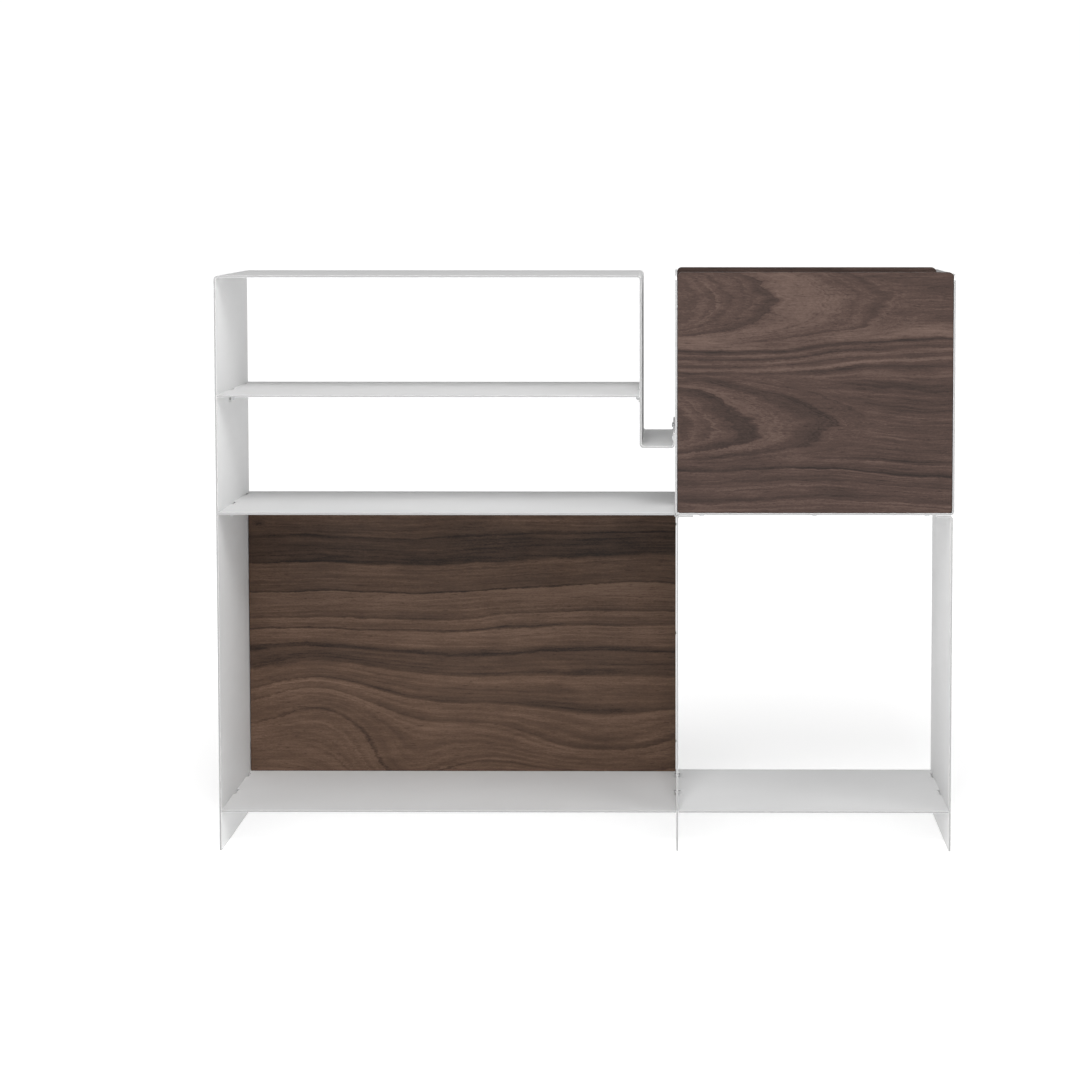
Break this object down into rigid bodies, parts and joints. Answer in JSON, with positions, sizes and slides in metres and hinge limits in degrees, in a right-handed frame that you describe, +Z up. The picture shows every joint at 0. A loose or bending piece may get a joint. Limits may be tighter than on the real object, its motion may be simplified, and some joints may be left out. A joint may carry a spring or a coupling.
{
  "type": "cube storage unit",
  "caption": "Low open storage unit of folded white steel sheet, with stepped shelves, a side slot, a walnut back board and a walnut-fronted open-top bin on the right.",
  "frame": {"origin": "on the floor, under the middle of the unit's outline", "axes": "+X to the right along the front, +Y from the front to the back, +Z up"},
  "size_m": [1.102, 0.3, 0.871],
  "materials": {
    "powder_coat": "fine-textured matt white powder coat",
    "walnut": "oiled dark walnut veneer, satin, grain running left to right",
    "zinc_steel": "bright zinc plate",
    "floor_strip": "moulded translucent white nylon"
  },
  "bodies": {
    "root": {"side_top_sheet": "powder_coat", "centre_leg_panel": "powder_coat", "right_leg_panel": "powder_coat", "upper_shelf": "powder_coat", "middle_shelf": "powder_coat", "lower_shelf_left": "powder_coat", "lower_shelf_right": "powder_coat", "bin_shell": "powder_coat", "bin_front_panel": "walnut", "bin_rear_panel": "walnut", "back_panel": "walnut", "left_floor_strip": "floor_strip", "centre_floor_strip": "floor_strip", "right_floor_strip": "floor_strip", "upper_shelf_screws": "zinc_steel", "upper_shelf_nuts": "zinc_steel", "middle_shelf_screws": "zinc_steel", "middle_shelf_nuts": "zinc_steel", "lower_shelf_end_screws": "zinc_steel", "lower_shelf_end_nuts": "zinc_steel", "lower_shelf_centre_screws": "zinc_steel", "lower_shelf_centre_nuts": "zinc_steel", "ledge_screws": "zinc_steel", "ledge_nuts": "zinc_steel", "bin_mount_screws": "zinc_steel", "bin_mount_nuts": "zinc_steel", "bin_front_base_screws": "zinc_steel", "bin_rear_base_screws": "zinc_steel", "bin_front_side_screws": "zinc_steel", "bin_rear_side_screws": "zinc_steel", "back_panel_left_screws": "zinc_steel", "back_panel_right_screws": "zinc_steel"}
  },
  "joints": []
}
